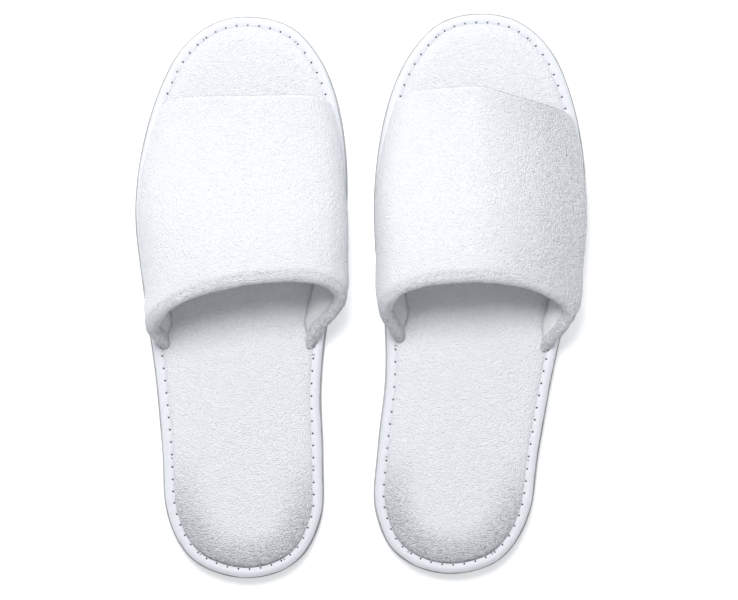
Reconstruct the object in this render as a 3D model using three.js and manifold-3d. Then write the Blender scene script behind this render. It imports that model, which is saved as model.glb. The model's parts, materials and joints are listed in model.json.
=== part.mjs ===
// A pair of open-toe terry spa slippers.
//
// Each slipper is a layered sole (soft outsole, foam pad, terry insole), bound round its edge with a
// folded tape that one line of stitching holds, and a padded terry vamp that arches over the forefoot.
// Units are millimetres. +X is to the wearer's right, +Y towards the toes, +Z up.
// The slippers are drawn in a local frame: x from the lateral side (-) to the medial side (+), y from
// the heel (0) to the toe, z from the floor. The right slipper is the mirror image of the left one.

import * as THREE from 'three';
import { mergeVertices } from 'three/addons/utils/BufferGeometryUtils.js';
import Module from 'manifold-3d';

const wasm = await Module();
wasm.setup();

// ---- Driving dimensions ----

// The sole from above, as [x, y] points of one closed smooth curve, clockwise from the toe.
const SOLE_OUTLINE = [
  [3, 290], [23, 284], [38, 266], [47, 240], [50.5, 200], [47, 162], [40, 130], [37, 98],
  [38, 60], [36.5, 29], [24, 8], [-1, 0], [-28, 9], [-41, 31], [-44, 66], [-48, 108],
  [-54, 150], [-58, 188], [-55, 220], [-45, 254], [-33, 275], [-16, 287.5],
];
const OUTLINE_STEPS = 56;

const GAP = 0.3; // clearance between pieces that touch
const OUTSOLE_THICKNESS = 5;
const OUTSOLE_INSET = 0.4; // the outsole stops a little inside the tape
const OUTSOLE_CHAMFER = 0.8;

const TAPE_WIDTH = 4.9; // how far the tape reaches in over the insole
const TAPE_UNDER = 4; // how far it reaches in under the pad
const TAPE_THICKNESS = 1.2;
const TAPE_BOTTOM = OUTSOLE_THICKNESS + GAP;
const TAPE_TOP = TAPE_BOTTOM + 6.5;
// The folded tape's outer face from bottom to top, as [distance in from the sole's edge, height].
const TAPE_FACE = [[0.8, 5.3], [0, 7], [0, 9.4], [1.2, 11.2], [3.2, 11.8], [4.9, 11.3]];

const PAD_TOP = TAPE_BOTTOM + 3.4;
const INSOLE_BOTTOM = PAD_TOP + GAP;
const INSOLE_EDGE_TOP = 10; // height of the insole's thin edge, under the tape
// The insole's rounded shoulder, as [distance in from the tape, height], up to its level middle.
const INSOLE_SHOULDER = [[1.1, 11.3], [4.5, 12.6], [10, 13.1]];
const CORE_INSET = 1.7; // edge of the pad and insole inside the tape's fold

const STITCH_INSET = 4.4; // middle of the stitch line from the sole's edge
const STITCH_SIZE = 0.6;

// Where the sole bends, just behind the vamp, and the room between its two rigid halves.
const FLEX_Y = 112;
const FLEX_GAP = 0.6;

// The vamps are soft and each sits a little differently. Their rear and front edges are given as
// [part of the way across from the lateral seam to the medial seam, y], and how far each side bulges
// out past its seam as [y, bulge]. The arch heights are parts of the crown's height, from the lateral
// side over the middle to the medial side.
const VAMP_SHAPES = {
  left: {
    rearEdge: [
      [0, 118], [0.12, 126], [0.2, 131], [0.3, 140], [0.4, 147.3], [0.5, 151.8],
      [0.6, 153.8], [0.7, 152.3], [0.8, 146], [0.9, 134.5], [1, 118],
    ],
    frontEdge: [[0, 241.5], [0.2, 246], [0.5, 248], [0.8, 247.5], [0.9, 245], [1, 241]],
    lateralBulge: [[112, 1.5], [125, 4.5], [135, 5.2], [150, 3.6], [165, 2.6], [190, 2.6], [250, 0.6]],
    medialBulge: [[112, 3], [122, 5], [128, 7.2], [136, 10.3], [144, 12], [164, 9], [190, 5.5], [250, 0.8]],
    archHeights: [0.36, 0.74, 0.95, 1, 0.95, 0.74, 0.36],
  },
  right: {
    rearEdge: [
      [0, 118], [0.12, 129], [0.2, 138], [0.28, 145], [0.35, 149.5], [0.43, 152],
      [0.5, 152], [0.6, 149], [0.7, 143.5], [0.8, 134], [0.88, 126.5], [1, 117],
    ],
    frontEdge: [
      [0, 238.5], [0.2, 241.8], [0.33, 245], [0.43, 248], [0.52, 251],
      [0.6, 249.3], [0.72, 246.5], [0.85, 242.5], [1, 238.5],
    ],
    lateralBulge: [[112, 3], [129, 6], [140, 10], [165, 7.5], [203, 4.6], [240, 1.8]],
    medialBulge: [[112, 3], [125, 4.9], [133, 7.5], [164, 5.3], [195, 4.5], [250, 0.8]],
    archHeights: [0.3, 0.56, 0.82, 1, 0.98, 0.8, 0.37],
  },
};
const ARCH_HALFWAY = 0.5; // where the arch's heights are given, in parts from its middle to its side
const ARCH_SHOULDER = 0.86;
const VAMP_REAR_HEIGHT = 47; // crown of the vamp above its seam
const VAMP_FRONT_HEIGHT = 29;
const VAMP_DROP_START = 148; // the crown starts to drop ahead of here
const VAMP_DROP_END = 250;
const VAMP_SEAM_Z = TAPE_TOP - 1; // the vamp's walls start this low, inside the seam
// The vamp keeps out of this space beside the tape, [distance in from the sole's edge, height], and
// stays this far above the insole.
const SEAM_CLEARANCE = [[-GAP, 0], [-GAP, 9.6], [0.8, 11.5]];
const INSOLE_CLEARANCE = 0.4;
const COVER_THICKNESS = 1.6;
const PADDING_THICKNESS = 1.7;
const LINING_THICKNESS = 0.9;
const VAMP_LENGTH = 110; // typical length from its rear edge to its front edge
const HEM_WIDTH = 5 / VAMP_LENGTH; // part of that length that the rolled hem takes at each edge
const HEM_THICKNESS = 4.8;
const HEM_ROUNDING = 0.3; // part of its thickness that each of its corners takes
const VAMP_STEPS_ACROSS = 24;
const NORMAL_STEP = 0.01; // spacing, in parts of the vamp, of the points that give its slope

// How the two slippers stand beside each other: the place of each local origin, and the turn of the
// right slipper about its own heel, toe outwards.
const LEFT_ORIGIN = [-58, -146];
const RIGHT_ORIGIN = [42.7, -143.6];
const RIGHT_TURN_DEG = 4.6;

// ---- Materials ----

function material(color, roughness) {
  return new THREE.MeshStandardMaterial({ color, roughness, metalness: 0 });
}

const TERRY = material(0xeceff5, 0.95);
const TAPE = material(0xe9ebf0, 0.8);
const THREAD = material(0xf2f3f6, 0.6);
const FOAM = material(0xefeee6, 0.9);
const LINING = material(0xdcdde0, 0.75);
const EVA = material(0xf1f1ee, 0.6);

// ---- Small helpers ----

function mix(a, b, t) {
  return a + (b - a) * t;
}

function smooth(t) {
  const clamped = Math.min(1, Math.max(0, t));
  return clamped * clamped * (3 - 2 * clamped);
}

// A smooth function of place through [place, value] pairs, level beyond its ends.
function curveThrough(pairs) {
  const places = Float32Array.from(pairs, ([place]) => place);
  const values = Float32Array.from(pairs, ([, value]) => value);
  const interpolant = new THREE.CubicInterpolant(places, values, 1, new Float32Array(1));
  return (place) => interpolant.evaluate(place)[0];
}

function geometryFrom(points, triangles) {
  const geometry = new THREE.BufferGeometry();
  geometry.setAttribute('position', new THREE.Float32BufferAttribute(points.flat(), 3));
  geometry.setIndex(triangles);
  return geometry;
}

function solidFrom(geometry) {
  const bare = geometry.clone();
  bare.deleteAttribute('normal');
  bare.deleteAttribute('uv');
  const merged = mergeVertices(bare);
  return new wasm.Manifold(new wasm.Mesh({
    numProp: 3,
    vertProperties: new Float32Array(merged.attributes.position.array),
    triVerts: new Uint32Array(merged.index.array),
  }));
}

function geometryOf(solid) {
  const mesh = solid.getMesh();
  const geometry = new THREE.BufferGeometry();
  geometry.setAttribute('position', new THREE.BufferAttribute(new Float32Array(mesh.vertProperties), 3));
  geometry.setIndex(Array.from(mesh.triVerts));
  return geometry;
}

// ---- The sole's outline ----

const outlineCurve = new THREE.CatmullRomCurve3(
  SOLE_OUTLINE.map(([x, y]) => new THREE.Vector3(x, y, 0)),
  true,
);
// Counter-clockwise from above, evenly spaced.
const outline = outlineCurve.getSpacedPoints(OUTLINE_STEPS).slice(0, OUTLINE_STEPS).reverse();
const outlineNormals = outline.map((point, i) => {
  const before = outline[(i + OUTLINE_STEPS - 1) % OUTLINE_STEPS];
  const after = outline[(i + 1) % OUTLINE_STEPS];
  return new THREE.Vector3(after.y - before.y, before.x - after.x, 0).normalize();
});

function outlineAt(i, inset, z) {
  const point = outline[i % OUTLINE_STEPS];
  const normal = outlineNormals[i % OUTLINE_STEPS];
  return [point.x - normal.x * inset, point.y - normal.y * inset, z];
}

// The sole's edge at a distance from the heel: side is -1 for lateral and 1 for medial.
function edgeX(side, y) {
  for (let i = 0; i < OUTLINE_STEPS; i += 1) {
    const a = outline[i];
    const b = outline[(i + 1) % OUTLINE_STEPS];
    const crosses = (a.y - y) * (b.y - y) <= 0 && a.y !== b.y;
    const goesForward = b.y > a.y;
    if (crosses && goesForward === (side > 0)) {
      return mix(a.x, b.x, (y - a.y) / (b.y - a.y));
    }
  }
  throw new Error(`no sole edge at ${y}`);
}

// ---- Solids built on the outline ----

// A body of stacked rings, each [inset, z], from its lowest face to its highest.
function stackedGeometry(rings) {
  const points = [];
  const triangles = [];
  for (const [inset, z] of rings) {
    for (let i = 0; i < OUTLINE_STEPS; i += 1) {
      points.push(outlineAt(i, inset, z));
    }
  }
  for (let ring = 0; ring + 1 < rings.length; ring += 1) {
    for (let i = 0; i < OUTLINE_STEPS; i += 1) {
      const a = ring * OUTLINE_STEPS + i;
      const b = ring * OUTLINE_STEPS + ((i + 1) % OUTLINE_STEPS);
      triangles.push(a, b, b + OUTLINE_STEPS, a, b + OUTLINE_STEPS, a + OUTLINE_STEPS);
    }
  }
  const last = (rings.length - 1) * OUTLINE_STEPS;
  const topFace = ringFace(rings[rings.length - 1][0]);
  const bottomFace = ringFace(rings[0][0]);
  for (const [a, b, c] of topFace) {
    triangles.push(last + a, last + b, last + c);
  }
  for (const [a, b, c] of bottomFace) {
    triangles.push(a, c, b);
  }
  return geometryFrom(points, triangles);
}

function ringFace(inset) {
  const contour = [];
  for (let i = 0; i < OUTLINE_STEPS; i += 1) {
    const [x, y] = outlineAt(i, inset, 0);
    contour.push(new THREE.Vector2(x, y));
  }
  return THREE.ShapeUtils.triangulateShape(contour, []);
}

// A closed section of [inset, z] points carried once round the outline. The section runs clockwise
// when inset is drawn to the right and z up, so that its faces point out.
function ringGeometry(section) {
  const points = [];
  const triangles = [];
  for (const [inset, z] of section) {
    for (let i = 0; i < OUTLINE_STEPS; i += 1) {
      points.push(outlineAt(i, inset, z));
    }
  }
  for (let j = 0; j < section.length; j += 1) {
    const next = (j + 1) % section.length;
    for (let i = 0; i < OUTLINE_STEPS; i += 1) {
      const along = (i + 1) % OUTLINE_STEPS;
      const a = j * OUTLINE_STEPS + i;
      const b = j * OUTLINE_STEPS + along;
      const c = next * OUTLINE_STEPS + along;
      const d = next * OUTLINE_STEPS + i;
      triangles.push(a, b, c, a, c, d);
    }
  }
  return geometryFrom(points, triangles);
}

function outsoleGeometry() {
  return stackedGeometry([
    [OUTSOLE_INSET + OUTSOLE_CHAMFER, 0],
    [OUTSOLE_INSET, OUTSOLE_CHAMFER],
    [OUTSOLE_INSET, OUTSOLE_THICKNESS],
  ]);
}

function padGeometry() {
  const step = TAPE_BOTTOM + TAPE_THICKNESS + GAP;
  return stackedGeometry([
    [TAPE_UNDER + GAP, TAPE_BOTTOM],
    [TAPE_UNDER + GAP, step],
    [CORE_INSET, step],
    [CORE_INSET, PAD_TOP],
  ]);
}

function insoleGeometry() {
  return stackedGeometry([
    [CORE_INSET, INSOLE_BOTTOM],
    [CORE_INSET, INSOLE_EDGE_TOP],
    [TAPE_WIDTH + GAP, INSOLE_EDGE_TOP],
    ...INSOLE_SHOULDER.map(([inside, z]) => [TAPE_WIDTH + inside, z]),
  ]);
}

function tapeGeometry() {
  const under = TAPE_BOTTOM + TAPE_THICKNESS;
  const over = TAPE_TOP - TAPE_THICKNESS;
  return ringGeometry([
    [TAPE_UNDER, TAPE_BOTTOM],
    ...TAPE_FACE,
    [TAPE_WIDTH, over],
    [TAPE_THICKNESS, over],
    [TAPE_THICKNESS, under],
    [TAPE_UNDER, under],
  ]);
}

function stitchGeometry() {
  const low = TAPE_TOP + GAP;
  const high = low + STITCH_SIZE;
  const outer = STITCH_INSET - STITCH_SIZE / 2;
  const inner = STITCH_INSET + STITCH_SIZE / 2;
  return ringGeometry([[inner, low], [outer, low], [outer, high], [inner, high]]);
}

// Everything of the sole, a little larger: the vamp is cut by it so that it stands on the seam.
function soleClearance() {
  const stitchTop = TAPE_TOP + STITCH_SIZE + 2 * GAP;
  const stitchSide = STITCH_SIZE / 2 + GAP;
  const shoulder = INSOLE_SHOULDER.slice(1);
  return solidFrom(stackedGeometry([
    ...SEAM_CLEARANCE,
    [STITCH_INSET - stitchSide, TAPE_TOP + GAP],
    [STITCH_INSET - stitchSide, stitchTop],
    [STITCH_INSET + stitchSide, stitchTop],
    ...shoulder.map(([inside, z]) => [TAPE_WIDTH + inside, z + INSOLE_CLEARANCE]),
  ]));
}

// ---- The vamp ----

function crownHeight(y) {
  const t = (y - VAMP_DROP_START) / (VAMP_DROP_END - VAMP_DROP_START);
  return mix(VAMP_REAR_HEIGHT, VAMP_FRONT_HEIGHT, smooth(t));
}

// The outer surface of one vamp.
class VampSurface {
  constructor({ rearEdge, frontEdge, lateralBulge, medialBulge, archHeights }) {
    this.rearEdge = curveThrough(rearEdge);
    this.frontEdge = curveThrough(frontEdge);
    this.lateralBulge = curveThrough(lateralBulge);
    this.medialBulge = curveThrough(medialBulge);
    this.archHeights = archHeights;
  }

  // The arch at a distance from the heel, from the lateral seam over the crown to the medial seam.
  archAt(y) {
    const lateralSeam = edgeX(-1, y) + TAPE_WIDTH;
    const medialSeam = edgeX(1, y) - TAPE_WIDTH;
    const lateralSide = lateralSeam - this.lateralBulge(y);
    const medialSide = medialSeam + this.medialBulge(y);
    const middle = (lateralSide + medialSide) / 2;
    const height = crownHeight(y);
    const places = [
      lateralSide,
      mix(middle, lateralSide, ARCH_SHOULDER),
      mix(middle, lateralSide, ARCH_HALFWAY),
      middle,
      mix(middle, medialSide, ARCH_HALFWAY),
      mix(middle, medialSide, ARCH_SHOULDER),
      medialSide,
    ];
    const arch = places.map((x, i) => new THREE.Vector3(x, y, VAMP_SEAM_Z + height * this.archHeights[i]));
    arch.unshift(new THREE.Vector3(lateralSeam, y, VAMP_SEAM_Z));
    arch.push(new THREE.Vector3(medialSeam, y, VAMP_SEAM_Z));
    return new THREE.CatmullRomCurve3(arch);
  }

  // across runs from the lateral seam (0) to the medial seam (1), along from rear edge to front edge.
  pointAt(across, along) {
    const y = mix(this.rearEdge(across), this.frontEdge(across), along);
    return this.archAt(y).getPoint(across);
  }

  normalAt(across, along) {
    const lateral = this.pointAt(Math.max(0, across - NORMAL_STEP), along);
    const sideways = this.pointAt(Math.min(1, across + NORMAL_STEP), along).sub(lateral);
    const behind = this.pointAt(across, along - NORMAL_STEP);
    const forwards = this.pointAt(across, along + NORMAL_STEP).sub(behind);
    return sideways.cross(forwards).normalize();
  }
}

// A closed section of [along, depth] points carried across a vamp from seam to seam.
function vampGeometry(surface, section) {
  const points = [];
  const triangles = [];
  const size = section.length;
  for (let row = 0; row <= VAMP_STEPS_ACROSS; row += 1) {
    const across = row / VAMP_STEPS_ACROSS;
    for (const [along, depth] of section) {
      const point = surface.pointAt(across, along);
      point.addScaledVector(surface.normalAt(across, along), -depth);
      points.push(point.toArray());
    }
  }
  for (let row = 0; row < VAMP_STEPS_ACROSS; row += 1) {
    for (let j = 0; j < size; j += 1) {
      const next = (j + 1) % size;
      const a = row * size + j;
      const b = row * size + next;
      // Facing layers split their quads the same way, so that they stay parallel.
      if (section[next][0] >= section[j][0]) {
        triangles.push(a, a + size, b + size, a, b + size, b);
      } else {
        triangles.push(a, a + size, b, b, a + size, b + size);
      }
    }
  }
  const contour = section.map(([along, depth]) => new THREE.Vector2(along * VAMP_LENGTH, depth));
  const last = VAMP_STEPS_ACROSS * size;
  for (const [a, b, c] of THREE.ShapeUtils.triangulateShape(contour, [])) {
    triangles.push(a, b, c);
    triangles.push(last + a, last + c, last + b);
  }
  return geometryFrom(points, triangles);
}

const VAMP_STATIONS = [0.14, 0.32, 0.5, 0.68, 0.86];

// The terry cover is rolled round the padding at both edges.
function vampCoverGeometry(surface) {
  const lip = HEM_WIDTH / 4;
  const upper = HEM_THICKNESS * HEM_ROUNDING;
  const lower = HEM_THICKNESS - upper;
  return vampGeometry(surface, [
    [0, upper],
    [lip, 0],
    ...VAMP_STATIONS.map((along) => [along, 0]),
    [1 - lip, 0],
    [1, upper],
    [1, lower],
    [1 - lip, HEM_THICKNESS],
    [1 - HEM_WIDTH, HEM_THICKNESS],
    [1 - HEM_WIDTH, COVER_THICKNESS],
    ...VAMP_STATIONS.map((along) => [along, COVER_THICKNESS]).reverse(),
    [HEM_WIDTH, COVER_THICKNESS],
    [HEM_WIDTH, HEM_THICKNESS],
    [lip, HEM_THICKNESS],
    [0, lower],
  ]);
}

// A layer of the vamp between its hems, from one depth to another.
function vampLayerGeometry(surface, top, bottom) {
  const start = HEM_WIDTH + (2 * GAP) / VAMP_LENGTH;
  const stations = [start, ...VAMP_STATIONS, 1 - start];
  return vampGeometry(surface, [
    ...stations.map((along) => [along, top]),
    ...stations.map((along) => [along, bottom]).reverse(),
  ]);
}

// ---- Assembly ----

const REACH = 800; // a cutting block this large covers one whole side of the bend

// A cutting block with its near face at a distance from the heel; direction is 1 for the toe side.
function cuttingBlock(y, direction) {
  const block = new THREE.BoxGeometry(REACH, REACH, REACH);
  block.translate(0, y + (direction * REACH) / 2, 0);
  return solidFrom(block);
}

const heelSide = cuttingBlock(FLEX_Y - FLEX_GAP / 2, -1);
const toeSide = cuttingBlock(FLEX_Y + FLEX_GAP / 2, 1);

function named(name, geometry, finish) {
  const mesh = new THREE.Mesh(geometry, finish);
  mesh.name = name;
  return mesh;
}

// A layer of the sole in two solids, one each side of the line where the slipper bends.
function solePieces(name, geometry, finish) {
  const solid = solidFrom(geometry);
  return [
    named(`${name}_forefoot`, geometryOf(solid.intersect(toeSide)), finish),
    named(`${name}_heel`, geometryOf(solid.intersect(heelSide)), finish),
  ];
}

function vampPiece(name, geometry, finish, clearance) {
  return named(name, geometryOf(solidFrom(geometry).subtract(clearance)), finish);
}

function slipper(side) {
  const group = new THREE.Group();
  const clearance = soleClearance();
  const vamp = new VampSurface(VAMP_SHAPES[side]);
  const paddingTop = COVER_THICKNESS + GAP;
  const paddingBottom = paddingTop + PADDING_THICKNESS;
  const liningTop = paddingBottom + GAP;
  const liningBottom = liningTop + LINING_THICKNESS;
  group.add(
    ...solePieces(`${side}_outsole`, outsoleGeometry(), EVA),
    ...solePieces(`${side}_insole_pad`, padGeometry(), FOAM),
    ...solePieces(`${side}_insole_cover`, insoleGeometry(), TERRY),
    ...solePieces(`${side}_edge_binding`, tapeGeometry(), TAPE),
    ...solePieces(`${side}_edge_stitching`, stitchGeometry(), THREAD),
    vampPiece(`${side}_vamp_cover`, vampCoverGeometry(vamp), TERRY, clearance),
    vampPiece(`${side}_vamp_padding`, vampLayerGeometry(vamp, paddingTop, paddingBottom), FOAM, clearance),
    vampPiece(`${side}_vamp_lining`, vampLayerGeometry(vamp, liningTop, liningBottom), LINING, clearance),
  );
  return group;
}

const left = slipper('left');
left.position.set(LEFT_ORIGIN[0], LEFT_ORIGIN[1], 0);

const right = slipper('right');
right.scale.x = -1;
right.rotation.z = THREE.MathUtils.degToRad(-RIGHT_TURN_DEG);
right.position.set(RIGHT_ORIGIN[0], RIGHT_ORIGIN[1], 0);

// The pair stands on z = 0, centred on the origin.
const pair = new THREE.Group();
pair.add(left, right);
pair.updateMatrixWorld(true);
const extent = new THREE.Box3().setFromObject(pair, true);
const middle = extent.getCenter(new THREE.Vector3());
pair.position.set(-middle.x, -middle.y, -extent.min.z);

export default pair;
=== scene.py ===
import json
import math

import bpy
import numpy as np
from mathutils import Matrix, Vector
from mathutils.geometry import delaunay_2d_cdt


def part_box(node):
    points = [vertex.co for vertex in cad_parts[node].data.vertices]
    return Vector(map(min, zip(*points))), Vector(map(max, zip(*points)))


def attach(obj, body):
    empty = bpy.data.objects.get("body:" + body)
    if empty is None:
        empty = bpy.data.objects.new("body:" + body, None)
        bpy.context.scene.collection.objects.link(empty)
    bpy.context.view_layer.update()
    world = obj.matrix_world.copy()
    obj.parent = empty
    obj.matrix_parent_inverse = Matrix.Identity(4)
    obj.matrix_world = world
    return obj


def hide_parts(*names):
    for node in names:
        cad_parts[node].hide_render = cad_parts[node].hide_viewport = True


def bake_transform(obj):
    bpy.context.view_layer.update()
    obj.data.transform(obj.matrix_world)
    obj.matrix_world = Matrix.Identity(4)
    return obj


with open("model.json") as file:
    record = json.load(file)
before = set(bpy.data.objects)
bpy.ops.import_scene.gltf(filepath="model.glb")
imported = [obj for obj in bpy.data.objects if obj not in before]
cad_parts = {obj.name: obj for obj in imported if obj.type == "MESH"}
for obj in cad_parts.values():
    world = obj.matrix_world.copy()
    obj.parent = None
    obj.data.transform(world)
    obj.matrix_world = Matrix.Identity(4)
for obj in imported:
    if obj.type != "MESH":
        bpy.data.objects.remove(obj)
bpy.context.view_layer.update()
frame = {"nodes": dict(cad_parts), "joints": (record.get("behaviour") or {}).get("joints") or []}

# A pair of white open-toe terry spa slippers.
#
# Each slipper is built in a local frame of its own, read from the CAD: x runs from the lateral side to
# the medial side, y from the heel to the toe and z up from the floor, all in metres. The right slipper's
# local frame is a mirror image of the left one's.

MM = 0.001

# ---- Sizes that the CAD gives ----

TAPE_LOW, TAPE_HIGH = (corner.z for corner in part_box("left_edge_binding_forefoot"))
OUTSOLE_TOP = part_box("left_outsole_forefoot")[1].z
PAD_LOW, PAD_HIGH = (corner.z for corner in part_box("left_insole_pad_forefoot"))
INSOLE_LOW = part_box("left_insole_cover_forefoot")[0].z
VAMP_SEAM_Z = TAPE_HIGH - 1 * MM
VAMP_REAR_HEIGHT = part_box("left_vamp_cover")[1].z - VAMP_SEAM_Z

# The middle of each flex hinge in its slipper's local frame, the waist behind it, ahead of which the vamp's
# seams follow the sole's edges, and the middle of the sole, round which its outline is sorted.
HINGE_LOCAL = (-4 * MM, 112 * MM)
WAIST_Y = 90 * MM
SOLE_MIDDLE_Y = 145 * MM

CUT_MARGIN = 0.6 * MM  # CAD vertices this near to the hinge line belong to the cut between the halves
SAME_PLACE = 0.02 * MM

# ---- Sizes of the real thing that the CAD's facets leave out ----
#
# An inset is a distance in from the sole's outline, and a depth is one in from the vamp's outer surface.

OUTSOLE_EDGE = (  # (inset, height) in mm, on a sheet 5 mm thick
    (0.7, 0.0), (-0.1, 0.15), (-0.6, 0.6), (-0.9, 1.4), (-0.95, 3.0), (-0.9, 4.5), (-0.7, 4.9), (0.6, 5.0),
)
GROOVE_DEPTH = 0.7 * MM
GROOVE_PITCH = 6 * MM
GROOVE_WAVE = (1.6 * MM, 12 * MM)  # how far each groove swings, and over what length
PLAIN_MARGIN = (6 * MM, 8 * MM)  # insets between which the grooves begin

TAPE_WIDEST = 1.7 * MM  # height above the tape's lowest edge where its outermost ring lies
TAPE_WIDTH = 4.9 * MM
TAPE_UNDER = 4.0 * MM
TAPE_THICKNESS = 1.2 * MM
CORE_INSET = 1.7 * MM
CORE_BEVEL = 0.4 * MM

STITCH_INSET = 4.3 * MM
STITCH_PITCH = 6.35 * MM
HOLE_RADIUS = 0.42 * MM
HOLE_DEPTH = 0.9 * MM
# Where a stitch's vertices lie, in mm past the middle of its needle hole: closest at both holes.
STITCH_STEPS = (0, 0.25, 0.5, 0.9, 1.4, 1.65, 1.9, 2.15, 2.5, 3.1, 3.7, 4.3, 4.8, 5.2, 5.55, 5.85, 6.1)
PULL_WIDTH = 0.9 * MM  # how far across the tape a stitch pulls it down
DOUBLE_HOLE = 1.9 * MM  # how far past the first hole the needle went in again
DOUBLE_EVERY = 9  # stitches
THREAD_RADIUS = 0.2 * MM
THREAD_SIDES = 7
THREAD_DIVE = 1.7 * MM

INSOLE_RIM = 4.7 * MM
INSOLE_SKIRT = ((3.4 * MM, 10.05 * MM), (CORE_INSET, 9.85 * MM), (CORE_INSET, INSOLE_LOW))
# The insole's top at the sides and at the heel, as (inset, height above the floor) in mm.
SIDE_DOME = (
    (4.7, 10.8), (5.2, 11.15), (6.0, 11.75), (7.5, 12.5), (10, 13.3), (14, 13.9), (20, 14.3), (28, 14.5),
    (42, 14.6),
)
HEEL_DOME = (
    (4.7, 9.3), (5.3, 9.5), (6.0, 10.4), (7.0, 11.4), (9, 12.4), (12, 13.3), (16, 14.0), (21, 14.4),
    (28, 14.6),
)

VAMP_FRONT_HEIGHT = 29 * MM
VAMP_DROP = (148 * MM, 250 * MM)  # the crown falls between these
VAMP_LENGTH = 100 * MM
LAYER_GAP = 0.7 * MM  # between the insole and the vamp's layers
COVER_THICKNESS = 1.6 * MM
FOAM_DEPTHS = (1.9 * MM, 3.6 * MM)
LINING_DEPTHS = (3.9 * MM, 4.7 * MM)
LINING_FLARE = 4.5 * MM  # how far the lining stands off the wall where it meets the insole
HEM_WIDTH = 5.2 * MM
HEM_THICKNESS = 5.0 * MM
FRONT_HEM_THICKNESS = 2.6 * MM
HEM_STEPS = (0.5, 0.7, 0.9, 1.0)  # where a hem's flat inside has points, in parts of its width

# Where an arch has knots between its two seams: -1 and 1 are the vamp's bulging sides.
ARCH_X = (-1, -0.86, -0.5, 0, 0.5, 0.86, 1)
# The vamps' edges, as (part of the way across, y in mm), their sides' bulges, as (y, bulge) in mm, and
# how high their arches stand at the seams and at ARCH_X, in parts of the crown's height.
VAMP_SHAPES = {
    "left": {
        "rear": (
            (0, 118), (0.12, 126), (0.2, 131), (0.3, 140), (0.4, 147.3), (0.5, 151.8),
            (0.6, 153.8), (0.7, 152.3), (0.8, 146), (0.9, 134.5), (1, 118),
        ),
        "front": ((0, 241.5), (0.2, 246), (0.5, 248), (0.8, 247.5), (0.9, 245), (1, 241)),
        "lateral": ((112, 1.5), (125, 4.5), (135, 5.2), (150, 3.6), (165, 2.6), (190, 2.6), (250, 0.6)),
        "medial": ((112, 3), (122, 5), (128, 7.2), (136, 10.3), (144, 12), (164, 9), (190, 5.5), (250, 0.8)),
        "arch": (0, 0.36, 0.74, 0.95, 1, 0.95, 0.74, 0.36, 0),
    },
    "right": {
        "rear": (
            (0, 118), (0.12, 129), (0.2, 138), (0.28, 145), (0.35, 149.5), (0.43, 152),
            (0.5, 152), (0.6, 149), (0.7, 143.5), (0.8, 134), (0.88, 126.5), (1, 117),
        ),
        "front": (
            (0, 238.5), (0.2, 241.8), (0.33, 245), (0.43, 248), (0.52, 251), (0.6, 249.3),
            (0.72, 246.5), (0.85, 242.5), (1, 238.5),
        ),
        "lateral": ((112, 3), (129, 6), (140, 10), (165, 7.5), (203, 4.6), (240, 1.8)),
        "medial": ((112, 3), (125, 4.9), (133, 7.5), (164, 5.3), (195, 4.5), (250, 0.8)),
        "arch": (0, 0.22, 0.46, 0.79, 1, 0.99, 0.82, 0.38, 0),
    },
}

# ---- Resolution ----

TERRY_STEP = 0.55 * MM  # spacing of the terry's vertices
LOOP_PITCH = 1.1 * MM  # spacing of the terry's loops
TERRY_PILE = 0.6 * MM  # height of the tallest loops
OUTSOLE_STEP = 1.2 * MM
PAD_STEP = 2.5 * MM
TAPE_STEP = 0.36 * MM  # across the tape
THREAD_STEP = 0.5 * MM
OUTLINE_POINTS = 1800
SIM_FRAMES = 20
SWELL_GRID = (49, 31)  # points of the vamp's cloth across it and along it


# ---- Numbers and noise ----


def smoothstep(t):
    t = np.clip(t, 0, 1)
    return t * t * (3 - 2 * t)


def rise(x, start, end):
    """0 up to start, 1 from end on, and eased in between."""
    return smoothstep((x - start) / (end - start))


def fall(x, start, end):
    return 1 - rise(x, start, end)


def hump(x, width):
    """1 at zero, fading out on both sides."""
    return np.exp(-((x / width) ** 2))


def hermite(a, b, lean_a, lean_b, t):
    """From a to b as t goes from 0 to 1, leaving and arriving with the given slopes."""
    return (
        a * (1 + 2 * t) * (1 - t) ** 2
        + lean_a * t * (1 - t) ** 2
        + b * t * t * (3 - 2 * t)
        - lean_b * t * t * (1 - t)
    )


def running_length(line):
    """How far along an open line each of its points lies."""
    steps = np.linalg.norm(np.diff(line, axis=0), axis=1)
    return np.concatenate([[0], np.cumsum(steps)])


def along_line(where, arc, line):
    """Points of a line at distances along it, where arc says how far along its own points lie."""
    return np.column_stack([np.interp(where, arc, part) for part in line.T])


def closed(line):
    return np.vstack([line, line[:1]])


def smooth_through(places, values):
    """A smooth function with these values at these places, level beyond its ends."""
    slopes = np.gradient(values, places)

    def read(where):
        where = np.clip(where, places[0], places[-1])
        i = np.clip(np.searchsorted(places, where) - 1, 0, len(places) - 2)
        span = places[i + 1] - places[i]
        t = (where - places[i]) / span
        return hermite(values[i], values[i + 1], slopes[i] * span, slopes[i + 1] * span, t)

    return read


def smooth_curve(pairs, unit=1.0):
    """A smooth function through (place, value in mm) pairs. unit is the places' own."""
    places, values = np.array(pairs, float).T
    return smooth_through(places * unit, values * MM)


def refine(line, step):
    """The same open line with points about a step apart, rounded at its corners."""
    arc = running_length(line)
    wanted = np.linspace(0, arc[-1], max(2, int(arc[-1] / step)))
    return np.column_stack([smooth_through(arc, part)(wanted) for part in line.T])


def scatter(i, j, seed):
    """A fixed number from 0 to 1 for each pair of whole numbers."""
    mixed = np.sin(i * 127.1 + j * 311.7 + seed * 74.7) * 43758.5453
    return mixed - np.floor(mixed)


def mix_corners(read, i, j, s, t):
    """Blends what read gives at the four corners of a grid's squares."""
    near = read(i, j) * (1 - s) + read(i + 1, j) * s
    far = read(i, j + 1) * (1 - s) + read(i + 1, j + 1) * s
    return near * (1 - t) + far * t


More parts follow.
